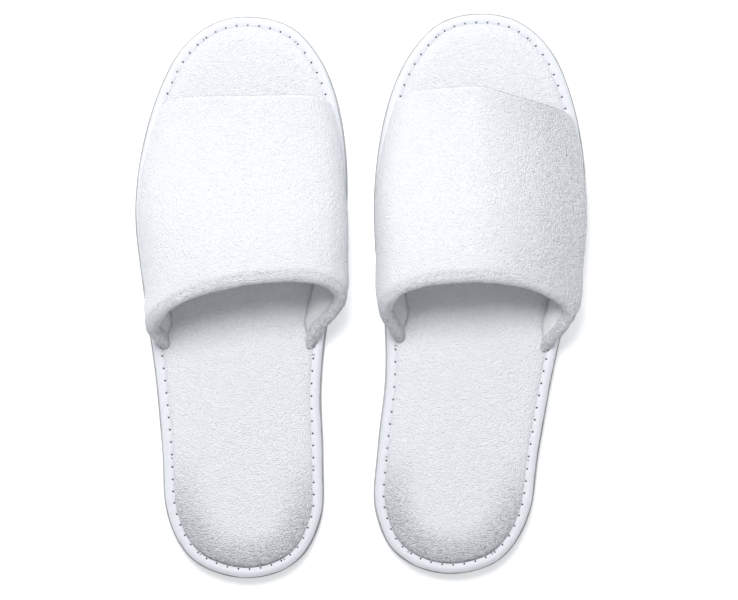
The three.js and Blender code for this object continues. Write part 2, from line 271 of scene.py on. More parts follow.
def noise(u, v, size, seed):
    """Smooth noise from -1 to 1, with patches about as large as size."""
    x, y = u / size, v / size
    i, j = np.floor(x), np.floor(y)
    s, t = smoothstep(x - i), smoothstep(y - j)
    return 2 * mix_corners(lambda a, b: scatter(a, b, seed), i, j, s, t) - 1


def loop_heights(u, v, seed):
    """Terry: a small dome round each of many scattered centres, from 0 in the gaps to 1."""
    x, y = u / LOOP_PITCH, v / LOOP_PITCH
    nearest = np.full(x.shape, np.inf)
    for di in (-1, 0, 1):
        for dj in (-1, 0, 1):
            i, j = np.floor(x) + di, np.floor(y) + dj
            cx = i + scatter(i, j, seed)
            cy = j + scatter(i, j, seed + 5)
            nearest = np.minimum(nearest, (x - cx) ** 2 + (y - cy) ** 2)
    return np.sqrt(np.clip(1 - nearest, 0, 1))


def terry(u, v, seed):
    """Height of terry above its ground cloth: round loops, some of which stand taller than others."""
    tall = 0.75 + 0.25 * noise(u, v, 1.1 * LOOP_PITCH, seed + 1)
    return TERRY_PILE * loop_heights(u, v, seed) * tall


class Field:
    """A smooth function of x and y, kept as values on a square grid and read by blending them."""

    def __init__(self, low, high, step, rule):
        self.low, self.step = low, step
        self.size = np.ceil((high - low) / step).astype(int) + 1
        x = low[0] + step * np.arange(self.size[0])
        y = low[1] + step * np.arange(self.size[1])
        grid = np.column_stack([np.repeat(x, len(y)), np.tile(y, len(x))])
        self.values = rule(grid).reshape(self.size)

    def __call__(self, xy):
        place = np.clip((xy - self.low) / self.step, 0, self.size - 1.001)
        i, j = np.floor(place).astype(int).T
        s, t = (place - np.floor(place)).T
        return mix_corners(lambda a, b: self.values[a, b], i, j, s, t)


# ---- Meshes ----


def bridge(first, second, count):
    """Quads between two closed rings of count vertices, which begin at vertices first and second. They
    face out when the second ring is above."""
    low = first + np.arange(count)
    high = second + np.arange(count)
    return np.stack([low, np.roll(low, -1), np.roll(high, -1), high], axis=1).tolist()


def bridge_stack(rings, count):
    """Quads between each of several rings and the next, where their vertices are numbered in turn."""
    return [quad for k in range(rings - 1) for quad in bridge(k * count, (k + 1) * count, count)]


def extend(points, values):
    """The points with one more coordinate, which is one value or one for each."""
    return np.column_stack([points, np.broadcast_to(values, len(points))])


def vertex_normals(points, quads):
    """Area-weighted normals of a mesh of quads."""
    corners = np.array(quads).T
    a, b, c, d = points[corners]
    facing = np.cross(c - a, d - b)
    normals = np.zeros_like(points)
    for corner in corners:
        for axis in range(3):
            normals[:, axis] += np.bincount(corner, facing[:, axis], len(points))
    return normals / np.maximum(np.linalg.norm(normals, axis=1), 1e-12)[:, None]


def smooth_mesh(name, points, faces, material):
    mesh = bpy.data.meshes.new(name)
    mesh.from_pydata(points.tolist(), [], faces)
    mesh.validate()
    mesh.polygons.foreach_set("use_smooth", np.ones(len(mesh.polygons), bool))
    mesh.materials.append(material)
    return mesh


def add_object(name, data):
    made = bpy.data.objects.new(name, data)
    bpy.context.collection.objects.link(made)
    return made


def make_piece(name, slipper, points, faces, material, cloth=None):
    """A piece of a slipper, placed in the row frame. Its rest attribute keeps the local points, so that
    its material stays still when the piece bends. cloth gives (along, across) metres for a weave."""
    if slipper.mirrored:
        faces = turned_over(faces)
    full_name = f"{slipper.side}_{name}"
    mesh = smooth_mesh(full_name, slipper.to_row(points), faces, material)
    store(mesh, "rest", "POINT", points)
    if cloth is not None:
        store_cloth(mesh, cloth)
    piece = add_object(full_name, mesh)
    return piece


def store(mesh, name, domain, values):
    """Keeps a number or a vector for each point or face corner, which the materials read by its name."""
    kind, field = ("FLOAT", "value") if values.ndim == 1 else ("FLOAT_VECTOR", "vector")
    attribute = mesh.attributes.new(name, kind, domain)
    attribute.data.foreach_set(field, values.astype(np.float32).ravel())


def store_cloth(mesh, cloth):
    """Keeps the weave's coordinates on the quads' corners, so that a ring's last step doesn't rewind."""
    corner = np.zeros(len(mesh.loops), np.int32)
    mesh.loops.foreach_get("vertex_index", corner)
    values = extend(cloth[corner], 0.0)
    along = values[:, 0].reshape(-1, 4)
    length = cloth[:, 0].max()
    rewinds = np.ptp(along, axis=1, keepdims=True) > length / 2
    values[:, 0] += length * (rewinds & (along < length / 2)).ravel()
    store(mesh, "cloth", "CORNER", values)


def triangulate(ring, inner=()):
    """Triangles, counter-clockwise, over a closed ring of points seen from above and loose points in it."""
    points = [Vector(p[:2]) for p in ring] + [Vector(p) for p in inner]
    rim = [(i, (i + 1) % len(ring)) for i in range(len(ring))]
    made, _, faces, *_ = delaunay_2d_cdt(points, rim, [], 1, 1e-7)
    if len(made) != len(points):
        raise ValueError("the ring touches itself")
    return [list(face) for face in faces]


def renumber(faces, start):
    return [[start + i for i in face] for face in faces]


def turned_over(faces):
    return [face[::-1] for face in faces]


# ---- A slipper's local frame and outline ----


class Slipper:
    """One slipper's local frame and the outline of its sole, read from the CAD."""

    def __init__(self, side):
        joint = next(j for j in frame["joints"] if j["name"] == f"{side}_sole_flex")
        axis = np.array(joint["axis"], float)
        self.side = side
        self.mirrored = side == "right"
        self.forward = np.array([axis[1], -axis[0], 0.0])
        self.medial = axis if self.mirrored else -axis
        self.hinge = np.array(joint["pos_m"], float)
        self.ring = self.read_ring()
        self.dense, self.dense_normals = self.outline(OUTLINE_POINTS)
        self.dense_arc = running_length(closed(self.dense))
        self.girth = self.dense_arc[-1]
        margin = 12 * MM
        low, high = self.dense.min(axis=0) - margin, self.dense.max(axis=0) + margin
        self.edge_distance = Field(low, high, 1 * MM, self.exact_distance)

    def to_row(self, points):
        """Local points in the frame that the whole pair shares."""
        x = (points[:, 0] - HINGE_LOCAL[0])[:, None] * self.medial
        y = (points[:, 1] - HINGE_LOCAL[1])[:, None] * self.forward
        return self.hinge * [1, 1, 0] + x + y + points[:, 2:] * [0, 0, 1]

    def read_ring(self):
        """The tape's outermost ring of CAD vertices, in the local frame, counter-clockwise."""
        found = []
        for half in ("forefoot", "heel"):
            vertices = frame["nodes"][f"{self.side}_edge_binding_{half}"].data.vertices
            found += [v.co for v in vertices if abs(v.co.z - TAPE_LOW - TAPE_WIDEST) < SAME_PLACE]
        offsets = np.array(found) - self.hinge
        x = offsets @ self.medial + HINGE_LOCAL[0]
        y = offsets @ self.forward + HINGE_LOCAL[1]
        off_the_cut = abs(y - HINGE_LOCAL[1]) > CUT_MARGIN
        ring = np.unique(np.round(np.column_stack([x, y])[off_the_cut], 6), axis=0)
        turn = np.arctan2(ring[:, 1] - SOLE_MIDDLE_Y, ring[:, 0])
        ring = ring[np.argsort(turn)]
        heel = np.argmin(ring[:, 1])
        return np.roll(ring, -heel, axis=0)

    def outline(self, count):
        """Evenly spaced points of the smooth closed curve through the ring, and outward normals."""
        after = np.roll(self.ring, -1, axis=0)
        chords = np.linalg.norm(after - self.ring, axis=1)[:, None]
        rates = (after - self.ring) / chords**2
        one_on = np.roll(np.eye(len(self.ring)), 1, axis=1)
        before = np.roll(chords, 1)
        system = np.diag(2 * (1 / before + 1 / chords)[:, 0]) + one_on / chords + one_on.T / before
        slopes = np.linalg.solve(system, 3 * (rates + np.roll(rates, 1, axis=0)))
        leans = slopes * chords, np.roll(slopes, -1, axis=0) * chords
        t = np.linspace(0, 1, 40, endpoint=False)[:, None]
        pieces = hermite(*(part[:, None] for part in (self.ring, after, *leans)), t)
        curve = closed(pieces.reshape(-1, 2))
        arc = running_length(curve)
        points = along_line(np.linspace(0, arc[-1], count, endpoint=False), arc, curve)
        tangent = np.roll(points, -1, axis=0) - np.roll(points, 1, axis=0)
        tangent /= np.linalg.norm(tangent, axis=1)[:, None]
        return points, np.column_stack([tangent[:, 1], -tangent[:, 0]])

    def along_edge(self, arc):
        """Points and outward normals at distances round the edge."""
        return [along_line(arc, self.dense_arc, closed(part)) for part in (self.dense, self.dense_normals)]

    def inset_ring(self, count, inset):
        points, normals = self.outline(count)
        return points - normals * inset

    def exact_distance(self, xy):
        """How far each point is inside the outline."""
        distances = []
        for part in np.array_split(xy, len(xy) // 4000 + 1):
            gap = part[:, None] - self.dense[None]
            nearest = np.argmin(gap[..., 0] ** 2 + gap[..., 1] ** 2, axis=1)
            offset = part - self.dense[nearest]
            distances.append(-(offset * self.dense_normals[nearest]).sum(axis=1))
        return np.concatenate(distances)

    def lattice(self, spacing, inset):
        """Points of a triangular lattice over the sole that are more than inset from its edge."""
        low, high = self.dense.min(axis=0), self.dense.max(axis=0)
        rows = np.arange(low[1], high[1], spacing * math.sqrt(0.75))
        points = []
        for number, y in enumerate(rows):
            x = np.arange(low[0] + (number % 2) * spacing / 2, high[0], spacing)
            points.append(extend(x, y))
        points = np.vstack(points)
        return points[self.edge_distance(points) > inset]

    def edge_x(self, sign, y):
        """The sole's lateral (-1) or medial (1) edge at distances from the heel, ahead of the waist."""
        side = (self.dense[:, 0] * sign > 0) & (self.dense[:, 1] > WAIST_Y)
        points = self.dense[side]
        points = points[np.argsort(points[:, 1])]
        return np.interp(y, points[:, 1], points[:, 0])


# ---- Materials ----

WHITE = (1, 1, 1)


class Finish:
    """One procedural material, and short ways to wire up its nodes."""

    def __init__(self, name, color, roughness):
        self.material = bpy.data.materials.new(name)
        self.material.use_nodes = True
        self.tree = self.material.node_tree
        self.shader = self.tree.nodes["Principled BSDF"]
        self.feed(self.shader, "Base Color", (*color, 1))
        self.feed(self.shader, "Roughness", roughness)

    def node(self, kind, **inputs):
        made = self.tree.nodes.new(kind)
        for name, value in inputs.items():
            self.feed(made, name, value)
        return made

    def feed(self, node, name, value):
        """Links a socket to a node's input, or sets the input to a value."""
        if isinstance(value, bpy.types.NodeSocket):
            self.tree.links.new(value, node.inputs[name])
        else:
            node.inputs[name].default_value = value

    def read(self, attribute, output="Vector"):
        """What a piece's mesh holds under this name: "Vector" for three numbers and "Fac" for one."""
        node = self.tree.nodes.new("ShaderNodeAttribute")
        node.attribute_name = attribute
        return node.outputs[output]

    def math(self, operation, a, b):
        made = self.tree.nodes.new("ShaderNodeMath")
        made.operation = operation
        self.feed(made, 0, a)
        self.feed(made, 1, b)
        return made.outputs[0]

    def add(self, a, b):
        return self.math("ADD", a, b)

    def times(self, a, b):
        return self.math("MULTIPLY", a, b)

    def wave(self, metres, pitch):
        return self.math("SINE", self.times(metres, 2 * math.pi / pitch), 0)

    def noise(self, place, size, detail=3.0, roughness=0.55):
        inputs = {"Vector": place, "Scale": 1 / size, "Detail": detail, "Roughness": roughness}
        return self.node("ShaderNodeTexNoise", **inputs).outputs["Fac"]

    def cells(self, place, size, feature="F1"):
        made = self.node("ShaderNodeTexVoronoi", Vector=place, Scale=1 / size)
        made.feature = feature
        return made.outputs["Distance"]

    def ramp(self, value, *stops):
        """Colours for a value, blended between stops of (value, colour)."""
        made = self.node("ShaderNodeValToRGB", Fac=value)
        ramp = made.color_ramp
        ramp.elements[0].position, ramp.elements[0].color = stops[0][0], (*stops[0][1], 1)
        ramp.elements[1].position, ramp.elements[1].color = stops[-1][0], (*stops[-1][1], 1)
        for position, color in stops[1:-1]:
            ramp.elements.new(position).color = (*color, 1)
        return made.outputs["Color"]

    def darken(self, color, amount):
        made = self.tree.nodes.new("ShaderNodeMix")
        made.data_type = "RGBA"
        made.blend_type = "MULTIPLY"
        self.feed(made, "Factor", 1.0)
        self.feed(made, "A", color)
        self.feed(made, "B", amount)
        return made.outputs["Result"]

    def color(self, socket):
        self.feed(self.shader, "Base Color", socket)

    def bump(self, height, distance, strength=1.0):
        made = self.node("ShaderNodeBump", Height=height, Strength=strength, Distance=distance)
        self.feed(self.shader, "Normal", made.outputs["Normal"])

    def sheen(self, weight):
        self.feed(self.shader, "Sheen Weight", weight)
        self.feed(self.shader, "Sheen Roughness", 0.5)


def terry_finish():
    """White cotton terry: fine looped pile, with painted shade down between the loops, deepest where the nap
    is coarse.
    """
    finish = Finish("terry", (0.86, 0.885, 0.93), 0.95)
    place = finish.read("rest")
    loops = finish.cells(place, 0.74 * MM)
    fibres = finish.noise(place, 0.35 * MM, detail=1.0)
    patches = finish.noise(place, 9 * MM, detail=2.0)
    gaps = finish.add(finish.times(loops, 0.75), finish.times(fibres, 0.35))
    # The colour darkens where the loops' domes fall into the gaps between them: painted shade, on top of the
    # fibres' grain.
    tint = finish.ramp(gaps, (0.3, (0.935, 0.95, 0.98)), (0.6, (0.925, 0.94, 0.97)), (0.9, (0.84, 0.86, 0.9)))
    wear = finish.ramp(patches, (0.3, (0.985, 0.987, 0.99)), (0.7, WHITE))
    # Painted shade down between the loops, as deep as the pile attribute says: deepest round the heel, along
    # the hems and on the right vamp's lateral side.
    depth = finish.times(finish.add(finish.read("pile", "Fac"), 1.0), 0.5)
    painted_loop_shade = finish.ramp(depth, (0.0, (0.6, 0.615, 0.65)), (0.5, (0.91, 0.915, 0.93)), (0.7, WHITE))
    finish.color(finish.darken(finish.darken(tint, wear), painted_loop_shade))
    raised = finish.times(finish.read("nap_and_shade", "Fac"), 0.8 * MM)
    finish.bump(finish.math("SUBTRACT", 1.0, gaps), raised)
    finish.sheen(0.25)
    return finish.material


def tape_finish():
    """Smooth white binding tape: a fine plain weave, with painted shade, nearly black, down in the needle
    holes.
    """
    finish = Finish("binding_tape", (0.84, 0.86, 0.9), 0.7)
    split = finish.node("ShaderNodeSeparateXYZ", Vector=finish.read("cloth"))
    warp = finish.wave(split.outputs["X"], 0.42 * MM)
    weft = finish.wave(split.outputs["Y"], 0.36 * MM)
    weave = finish.times(warp, weft)
    slubs = finish.noise(finish.read("rest"), 1.6 * MM, detail=4.0)
    height = finish.add(finish.times(weave, 0.35), slubs)
    tint = finish.ramp(slubs, (0.3, (0.79, 0.8, 0.85)), (0.7, (0.84, 0.85, 0.895)))
    # Painted shade in the needle holes, read from the pit attribute.
    holes = finish.ramp(finish.read("pit", "Fac"), (0.12, WHITE), (0.45, (0.02, 0.022, 0.03)))
    finish.color(finish.darken(tint, holes))
    finish.bump(height, 0.12 * MM, 0.6)
    finish.sheen(0.12)
    return finish.material


def thread_finish():
    """White polyester sewing thread with a visible twist."""
    finish = Finish("sewing_thread", (0.88, 0.9, 0.93), 0.5)
    split = finish.node("ShaderNodeSeparateXYZ", Vector=finish.read("cloth"))
    turned = finish.add(split.outputs["X"], finish.times(split.outputs["Y"], 0.6))
    twist = finish.wave(turned, 0.5 * MM)
    finish.color(finish.ramp(twist, (0.0, (0.78, 0.8, 0.84)), (0.6, (0.9, 0.91, 0.94))))
    finish.bump(twist, 0.06 * MM, 0.8)
    finish.sheen(0.2)
    return finish.material


def lining_finish():
    """Smooth light-grey brushed lining."""
    finish = Finish("vamp_lining", (0.76, 0.77, 0.785), 0.75)
    place = finish.read("rest")
    fibres = finish.noise(place, 0.5 * MM, detail=5.0, roughness=0.65)
    clouds = finish.noise(place, 7 * MM, detail=2.0)
    tint = finish.ramp(fibres, (0.3, (0.74, 0.75, 0.765)), (0.7, (0.82, 0.825, 0.835)))
    soft = finish.ramp(clouds, (0.3, (0.95, 0.95, 0.955)), (0.7, WHITE))
    finish.color(finish.darken(tint, soft))
    finish.bump(fibres, 0.12 * MM, 0.5)
    finish.sheen(0.2)
    return finish.material


def foam_finish():
    """Cream open-cell foam, hidden between the cloths."""
    finish = Finish("foam", (0.85, 0.83, 0.76), 0.9)
    cells = finish.cells(finish.read("rest"), 0.7 * MM, "SMOOTH_F1")
    finish.color(finish.ramp(cells, (0.2, (0.86, 0.84, 0.78)), (0.8, (0.7, 0.68, 0.61))))
    finish.bump(cells, 0.3 * MM, 0.8)
    return finish.material


def eva_finish():
    """An off-white closed-cell foam sheet with a cut, finely pored edge, coloured a darker grey here so that
    its thin rim past the tape shows as a dark outline: painted shade on top of the sheet's own pale colour.
    """
    finish = Finish("eva", (0.55, 0.555, 0.565), 0.55)
    place = finish.read("rest")
    pores = finish.cells(place, 0.55 * MM)
    clouds = finish.noise(place, 14 * MM)
    scuffs = finish.noise(place, 2.2 * MM, detail=6.0, roughness=0.7)
    tint = finish.ramp(scuffs, (0.25, (0.39, 0.395, 0.405)), (0.6, (0.48, 0.485, 0.495)))
    tone = finish.ramp(clouds, (0.3, (0.96, 0.96, 0.955)), (0.7, WHITE))
    finish.color(finish.darken(tint, tone))
    finish.bump(finish.add(pores, scuffs), 0.12 * MM, 0.5)
    return finish.material


def floor_finish():
    """A plain pale studio floor, faintly lit from within so that it stays close to white."""
    finish = Finish("studio_floor", (0.93, 0.93, 0.93), 0.9)
    grain = finish.noise(finish.node("ShaderNodeTexCoord").outputs["Object"], 40 * MM)
    finish.color(finish.ramp(grain, (0.3, (0.925, 0.925, 0.925)), (0.7, (0.94, 0.94, 0.94))))
    finish.feed(finish.shader, "Emission Color", (1, 1, 1, 1))
    finish.feed(finish.shader, "Emission Strength", 0.33)
    return finish.material


TERRY = terry_finish()
TAPE = tape_finish()
THREAD = thread_finish()
LINING = lining_finish()
FOAM = foam_finish()
EVA = eva_finish()


# ---- Cloth simulation ----


def simulate(points, faces, pinned, pressure, cap):
    """Blows a coarse sheet up a little as cloth and returns how far each of its points moved."""
    scene = bpy.context.scene
    mesh = bpy.data.meshes.new("cloth_trial")
    mesh.from_pydata(points.tolist(), [], faces)
    trial = add_object("cloth_trial", mesh)
    group = trial.vertex_groups.new(name="pinned")
    for number, weight in enumerate(pinned):
        if weight > 0:
            group.add([number], float(weight), "REPLACE")
    cloth = trial.modifiers.new("Cloth", "CLOTH")
    settings = cloth.settings
    settings.quality = 6
    settings.mass = 0.15
    settings.tension_stiffness = 12
    settings.compression_stiffness = 12
    settings.shear_stiffness = 5
    settings.bending_stiffness = 0.6
    settings.vertex_group_mass = "pinned"
    settings.use_pressure = True
    settings.uniform_pressure_force = pressure
    settings.effector_weights.gravity = 0
    cloth.point_cache.frame_start = 1
    cloth.point_cache.frame_end = SIM_FRAMES
    for number in range(1, SIM_FRAMES + 1):
        scene.frame_set(number)
    evaluated = trial.evaluated_get(bpy.context.evaluated_depsgraph_get())
    moved = np.array([v.co for v in evaluated.data.vertices], float) - points
    bpy.data.objects.remove(trial)
    scene.frame_set(1)
    length = np.linalg.norm(moved, axis=1)
    return moved * np.minimum(1, cap / np.maximum(length, 1e-9))[:, None]


# ---- The sole ----


def ring_stack(slipper, profile, count):
    """Rings of the sole's outline at each (inset, height) of a profile."""
    return [extend(slipper.inset_ring(count, inset), z) for inset, z in profile]


def build_outsole(slipper):
    """EVA sheet: a cut edge, and shallow wavy grooves moulded into its lower face."""
    count = int(slipper.girth / OUTSOLE_STEP)
    sheet = OUTSOLE_EDGE[-1][1]
    profile = [(inset * MM, z / sheet * OUTSOLE_TOP) for inset, z in OUTSOLE_EDGE]
    rings = ring_stack(slipper, profile, count)
    lattice = slipper.lattice(1.5 * MM, profile[0][0] + 0.9 * MM)
    swing, length = GROOVE_WAVE
    wave = lattice[:, 1] + swing * np.sin(lattice[:, 0] * 2 * math.pi / length)
    groove = rise(np.cos(wave * 2 * math.pi / GROOVE_PITCH), 0.55, 0.85)
    groove *= rise(slipper.edge_distance(lattice), *PLAIN_MARGIN)
    bottom = extend(lattice, GROOVE_DEPTH * groove)
    faces = bridge_stack(len(rings), count)
    first_inner = len(rings) * count
    for face in triangulate(rings[0], lattice):
        faces.append([i if i < count else first_inner + i - count for i in reversed(face)])
    faces += renumber(triangulate(rings[-1]), first_inner - count)
    return make_piece("eva_sole", slipper, np.vstack(rings + [bottom]), faces, EVA)


def build_pad(slipper):
    """The foam layer under the insole, with its edge in the fold of the tape."""
    count = int(slipper.girth / PAD_STEP)
    step = TAPE_LOW + TAPE_THICKNESS + 0.3 * MM
    rings = ring_stack(slipper, [
        (TAPE_UNDER + 0.5 * MM, PAD_LOW),
        (TAPE_UNDER + 0.4 * MM, step),
        (CORE_INSET + CORE_BEVEL, step),
        (CORE_INSET, step + CORE_BEVEL),
        (CORE_INSET, PAD_HIGH - 0.3 * MM),
        (CORE_INSET + CORE_BEVEL, PAD_HIGH),
    ], count)
    faces = bridge_stack(len(rings), count)
    faces += turned_over(triangulate(rings[0]))
    faces += renumber(triangulate(rings[-1]), (len(rings) - 1) * count)
    return make_piece("sole_foam", slipper, np.vstack(rings), faces, FOAM)


side_dome = smooth_curve(SIDE_DOME, MM)
heel_dome = smooth_curve(HEEL_DOME, MM)


def insole_height(xy, distance):
    """The insole's top: it falls off within a few millimetres at the sides, and further in at the heel."""
    heel = fall(xy[:, 1], 6 * MM, 34 * MM)
    return side_dome(distance) * (1 - heel) + heel_dome(distance) * heel


def insole_puff(slipper):
    """How a coarse insole swells when its rim is held down: a function of local x and y."""
    spacing = 5 * MM
    lattice = slipper.lattice(spacing, 7 * MM)
    ring = slipper.inset_ring(int(slipper.girth / spacing), spacing)
    flat = np.vstack([ring, lattice])
    distance = slipper.edge_distance(flat)
    points = extend(flat, insole_height(flat, distance))
    pinned = np.clip(1 - (distance - spacing) / (4 * MM), 0, 1)
    moved = simulate(points, triangulate(ring, lattice), pinned, pressure=1.2, cap=1 * MM)

    def swell(xy):
        gaps = ((xy[:, None, :] - flat[None]) ** 2).sum(axis=2)
        weights = np.exp(-gaps / (2 * spacing**2))
        return (weights * moved[:, 2]).sum(axis=1) / np.maximum(weights.sum(axis=1), 1e-9)

    return Field(flat.min(axis=0), flat.max(axis=0), spacing / 2, swell)


def build_insole(slipper, seed):
    """Terry footbed: domed, dropping to the tape at its rim, with looped pile."""
    count = int(slipper.girth / TERRY_STEP)
    ring = slipper.inset_ring(count, INSOLE_RIM)
    lattice = slipper.lattice(TERRY_STEP, INSOLE_RIM + 0.4 * MM)
    flat = np.vstack([ring, lattice])
    x, y = flat.T
    distance = slipper.edge_distance(flat)
    height = insole_height(flat, distance)
    height += insole_puff(slipper)(flat)
    height += 0.15 * MM * noise(x, y, 28 * MM, seed) * rise(distance, 8 * MM, 16 * MM)
    pile = terry(x, y, seed)
    # Round the heel the pile stands taller and the painted shade between its loops deepens, which darkens the
    # heel's rim.
    round_heel = fall(distance, 6 * MM, 26 * MM) * fall(y, 20 * MM, 70 * MM)
    nap_and_shade = 1 + 1.4 * round_heel
    height += pile * nap_and_shade * rise(distance, INSOLE_RIM, INSOLE_RIM + 0.8 * MM)
    top = extend(flat, height)
    skirt = ring_stack(slipper, INSOLE_SKIRT, count)
    faces = triangulate(ring, lattice)
    starts = [0] + [len(top) + k * count for k in range(len(skirt))]
    for upper, under in zip(starts, starts[1:]):
        faces += bridge(under, upper, count)
    faces += turned_over(renumber(triangulate(skirt[-1]), starts[-1]))
    piece = make_piece("insole_terry", slipper, np.vstack([top] + skirt), faces, TERRY)
    store_nap_and_shade(piece, pile, nap_and_shade)
    return piece


def store_nap_and_shade(piece, pile, nap_and_shade):
    """Tells the terry's material how coarse its pile is, for its bump, and how much shade to paint at each
    point: painted shade down between the loops, deeper where the nap is coarse.
    """
    coarse, unshaded_share = np.ones((2, len(piece.data.vertices)))
    coarse[: len(nap_and_shade)] = nap_and_shade
    unshaded_share[: len(pile)] = 1 - nap_and_shade * (1 - np.clip(pile / TERRY_PILE, 0, 1))
    store(piece.data, "nap_and_shade", "POINT", coarse)
    # The pile attribute says how much painted shade a point gets: 1 on a loop's top, falling below 0 between
    # coarse loops.
    store(piece.data, "pile", "POINT", unshaded_share)


def stitch_count(slipper):
    return round(slipper.girth / STITCH_PITCH)


def stitch_phase(slipper, arc):
    """Arc length counted in stitches, with a whole number of stitches round the sole, and how far past
    the nearest needle hole it is."""
    phase = arc / slipper.girth * stitch_count(slipper)
    return phase, (phase - np.round(phase)) * STITCH_PITCH


def tape_section():
    """The tape's visible face from under the sole to its top edge, and its hidden face, as (inset, z)."""
    low, high = TAPE_LOW / MM, TAPE_HIGH / MM
    outside = [
        (4.0, low), (2.4, low - 0.05), (1.1, low + 0.05), (0.35, low + 0.6), (0.02, low + 1.7),
        (0.0, low + 3.0), (0.15, low + 4.2), (0.65, low + 5.3), (1.5, low + 6.1), (2.5, low + 6.45),
        (3.4, low + 6.42), (3.9, low + 6.35), (4.2, low + 6.28), (4.45, low + 6.2), (4.7, high - 0.42),
        (4.95, high - 0.8),
    ]
    inside = [(4.8, high - 1.2), (1.3, high - 1.45), (1.2, low + 1.2), (4.0, low + 1.2)]
    return refine(np.array(outside) * MM, TAPE_STEP), np.array(inside) * MM


def build_tape(slipper, seed):
    """Binding tape folded round the edge of the sole: a plump roll, pulled down at each stitch."""
    stitches = stitch_count(slipper)
    length = slipper.girth / stitches
    steps = np.array(STITCH_STEPS)[None] * MM / STITCH_PITCH * length
    arc = (np.arange(stitches)[:, None] * length + steps).ravel()
    count = len(arc)
    ring, normals = slipper.along_edge(arc)
    phase, past = stitch_phase(slipper, arc)
    doubled = np.mod(np.round(phase), DOUBLE_EVERY) == DOUBLE_EVERY // 2
    holes = hump(past, HOLE_RADIUS) + hump(past - DOUBLE_HOLE, HOLE_RADIUS) * doubled
    pull = 0.5 + 0.5 * np.cos(2 * math.pi * phase)
    outside, inside = tape_section()
    section = np.vstack([outside, inside])
    points, pits, cloth = [], [], []
    for number, ((inset, z), travelled) in enumerate(zip(section, running_length(section))):
        visible = number < len(outside)
        on_top = rise(z, TAPE_LOW + 3 * MM, TAPE_LOW + 5 * MM) * visible
        near = hump(inset - STITCH_INSET, PULL_WIDTH) * on_top
        pit = np.minimum(hump(inset - STITCH_INSET, HOLE_RADIUS) * holes, 1) * on_top
        swell = 0.16 * MM * noise(arc, inset, 9 * MM, seed)
        swell += 0.08 * MM * noise(arc, inset, 2.8 * MM, seed + 1)
        swell *= visible
        spread = inset - swell * (1 - on_top)
        height = z + swell * on_top - near * (0.04 + 0.16 * pull) * MM - HOLE_DEPTH * pit
        points.append(extend(ring - normals * spread[:, None], height))
        pits.append(pit)
        cloth.append(extend(arc, travelled))
    faces = bridge_stack(len(section), count)
    faces += bridge((len(section) - 1) * count, 0, count)
    piece = make_piece("binding_tape", slipper, np.vstack(points), faces, TAPE, np.vstack(cloth))
    # The pits also tell the tape's material where to paint shade in the needle holes.
    store(piece.data, "pit", "POINT", np.concatenate(pits))
    return piece


def build_thread(slipper):
    """The needle thread: it lies along the tape and dives into a hole at each stitch."""
    count = int(slipper.girth / THREAD_STEP)
    line, normals = slipper.outline(count)
    arc = np.arange(count) * slipper.girth / count
    _, past = stitch_phase(slipper, arc)
    middle = TAPE_HIGH - 0.5 * MM - THREAD_DIVE * hump(past, 0.85 * MM)
    points, cloth = [], []
    for turn in np.arange(THREAD_SIDES) * 2 * math.pi / THREAD_SIDES:
        inset = STITCH_INSET - THREAD_RADIUS * math.cos(turn)
        points.append(extend(line - normals * inset, middle + THREAD_RADIUS * math.sin(turn)))
        cloth.append(extend(arc, THREAD_RADIUS * turn))
    faces = bridge_stack(THREAD_SIDES, count)
    faces += bridge((THREAD_SIDES - 1) * count, 0, count)
    return make_piece("needle_thread", slipper, np.vstack(points), faces, THREAD, np.vstack(cloth))


# ---- The vamp ----


